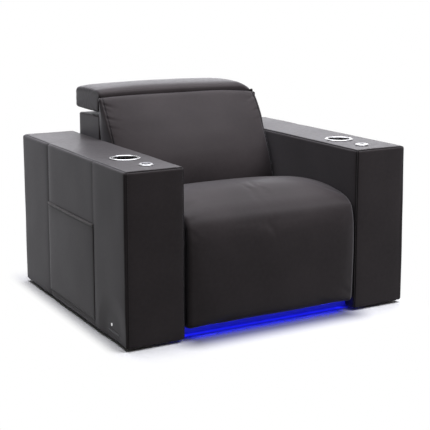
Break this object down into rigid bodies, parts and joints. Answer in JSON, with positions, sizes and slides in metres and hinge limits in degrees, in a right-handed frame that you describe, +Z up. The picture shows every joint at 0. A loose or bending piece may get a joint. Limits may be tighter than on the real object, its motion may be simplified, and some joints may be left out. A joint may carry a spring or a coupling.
{
  "type": "cinema recliner seat",
  "caption": "Padded leather cinema recliner between two wide arms, with cup holders, a folding headrest, reclining back and a one-piece leg rest that lifts on a linkage.",
  "frame": {"origin": "on the floor under the middle of the seat: the middle of the footprint", "axes": "+X to the right arm as seen from the front, across the seat; -Y the way the sitter faces; +Z up"},
  "size_m": [1.14, 0.9997, 0.808],
  "materials": {
    "leather": "dark charcoal semi-gloss upholstery leather over foam",
    "plywood": "raw plywood",
    "black_steel": "black powder coat",
    "bright_steel": "brushed",
    "black_plastic": "matte",
    "grey_plastic": "satin",
    "light": "frosted, lit blue",
    "rod": "polished"
  },
  "bodies": {
    "base": {"left_arm_frame": "plywood", "right_arm_frame": "plywood", "left_arm_cover": "leather", "right_arm_cover": "leather", "left_side_pocket": "leather", "right_side_pocket": "leather", "left_cup_holder": "bright_steel", "right_cup_holder": "bright_steel", "switch_bezel": "bright_steel", "switch_housing": "black_plastic", "accessory_dock": "bright_steel", "side_tag": "black_plastic", "tag_stud": "bright_steel", "arm_glides": "black_plastic", "left_base_rail": "black_steel", "right_base_rail": "black_steel", "base_cross_tubes": "black_steel", "rear_panel": "leather", "led_channel": "black_plastic", "led_diffuser": "light", "base_pivot_pins": "bright_steel"},
    "recline_button": {"recline_button": "grey_plastic"},
    "return_button": {"return_button": "grey_plastic"},
    "front_links": {"left_front_link": "black_steel", "right_front_link": "black_steel"},
    "rear_links": {"left_rear_link": "black_steel", "right_rear_link": "black_steel"},
    "seat": {"left_seat_plate": "black_steel", "right_seat_plate": "black_steel", "seat_frame": "plywood", "seat_springs": "bright_steel", "seat_cushion": "leather", "actuator_housing": "black_steel", "seat_pivot_pins": "bright_steel"},
    "actuator_rod": {"actuator_rod": "rod"},
    "main_leg_links": {"left_main_leg_link": "black_steel", "right_main_leg_link": "black_steel"},
    "rear_leg_links": {"left_rear_leg_link": "black_steel", "right_rear_leg_link": "black_steel"},
    "upper_bars": {"left_upper_bar": "black_steel", "right_upper_bar": "black_steel", "upper_bar_pins": "bright_steel"},
    "lower_bars": {"left_lower_bar": "black_steel", "right_lower_bar": "black_steel", "lower_bar_pins": "bright_steel"},
    "leg_rest": {"left_leg_bracket": "black_steel", "right_leg_bracket": "black_steel", "leg_board": "plywood", "leg_cushion": "leather"},
    "back": {"back_frame": "plywood", "left_back_bracket": "black_steel", "right_back_bracket": "black_steel", "back_lever": "black_steel", "back_shell": "leather", "back_cushion": "leather", "headrest_brackets": "black_steel", "headrest_pins": "bright_steel"},
    "headrest": {"headrest_arms": "black_steel", "headrest_board": "plywood", "headrest_cushion": "leather"}
  },
  "joints": [
    {"name": "recline", "type": "hinge", "parent": "base", "child": "front_links", "pos_m": [0, -0.17254, 0.09505], "axis": [1, 0, 0], "range_deg": [0, 56]},
    {"name": "rear_links_turn", "type": "hinge", "parent": "base", "child": "rear_links", "pos_m": [0, 0.15746, 0.09505], "axis": [1, 0, 0], "range_deg": [0, 56]},
    {"name": "seat_level", "type": "hinge", "parent": "front_links", "child": "seat", "pos_m": [0, -0.1162, 0.201], "axis": [-1, 0, 0], "range_deg": [0, 56]},
    {"name": "back_recline", "type": "hinge", "parent": "seat", "child": "back", "pos_m": [0, 0.2425, 0.3], "axis": [-1, 0, 0], "range_deg": [0, 35]},
    {"name": "actuator_stroke", "type": "slide", "parent": "seat", "child": "actuator_rod", "axis": [0, -1, 0], "range_m": [0, 0.05713]},
    {"name": "main_leg_links_turn", "type": "hinge", "parent": "seat", "child": "main_leg_links", "pos_m": [0, -0.24862, 0.2541], "axis": [-1, 0, 0], "range_deg": [0, 85]},
    {"name": "rear_leg_links_turn", "type": "hinge", "parent": "seat", "child": "rear_leg_links", "pos_m": [0, -0.16866, 0.19013], "axis": [-1, 0, 0], "range_deg": [0, 85]},
    {"name": "upper_bars_turn", "type": "hinge", "parent": "main_leg_links", "child": "upper_bars", "pos_m": [0, -0.16259, 0.13122], "axis": [1, 0, 0], "range_deg": [0, 85]},
    {"name": "lower_bars_turn", "type": "hinge", "parent": "main_leg_links", "child": "lower_bars", "pos_m": [0, -0.1167, 0.06569], "axis": [1, 0, 0], "range_deg": [0, 85]},
    {"name": "leg_rest_lift", "type": "hinge", "parent": "seat", "child": "leg_rest", "pos_m": [0, -0.4985, 0.454], "axis": [-1, 0, 0], "range_deg": [0, 85]},
    {"name": "headrest_tilt", "type": "hinge", "parent": "back", "child": "headrest", "pos_m": [0, 0.252, 0.7755], "axis": [1, 0, 0], "range_deg": [0, 85]},
    {"name": "recline_press", "type": "slide", "parent": "base", "child": "recline_button", "axis": [0, 0, -1], "range_m": [0, 0.002], "stiffness_N_per_m": 400, "springref_m": -0.002},
    {"name": "return_press", "type": "slide", "parent": "base", "child": "return_button", "axis": [0, 0, -1], "range_m": [0, 0.002], "stiffness_N_per_m": 400, "springref_m": -0.002}
  ],
  "couplings": [
    {"joint": "rear_links_turn", "follows": "recline", "ratio": 1},
    {"joint": "seat_level", "follows": "recline", "ratio": 1},
    {"joint": "back_recline", "follows": "recline", "ratio": 0.625},
    {"joint": "actuator_stroke", "follows": "recline", "m_per_rad": 0.058452},
    {"joint": "main_leg_links_turn", "follows": "recline", "ratio": 1.5179},
    {"joint": "rear_leg_links_turn", "follows": "recline", "ratio": 1.5179},
    {"joint": "upper_bars_turn", "follows": "recline", "ratio": 1.5179},
    {"joint": "lower_bars_turn", "follows": "recline", "ratio": 1.5179},
    {"joint": "leg_rest_lift", "follows": "recline", "ratio": 1.5179}
  ]
}
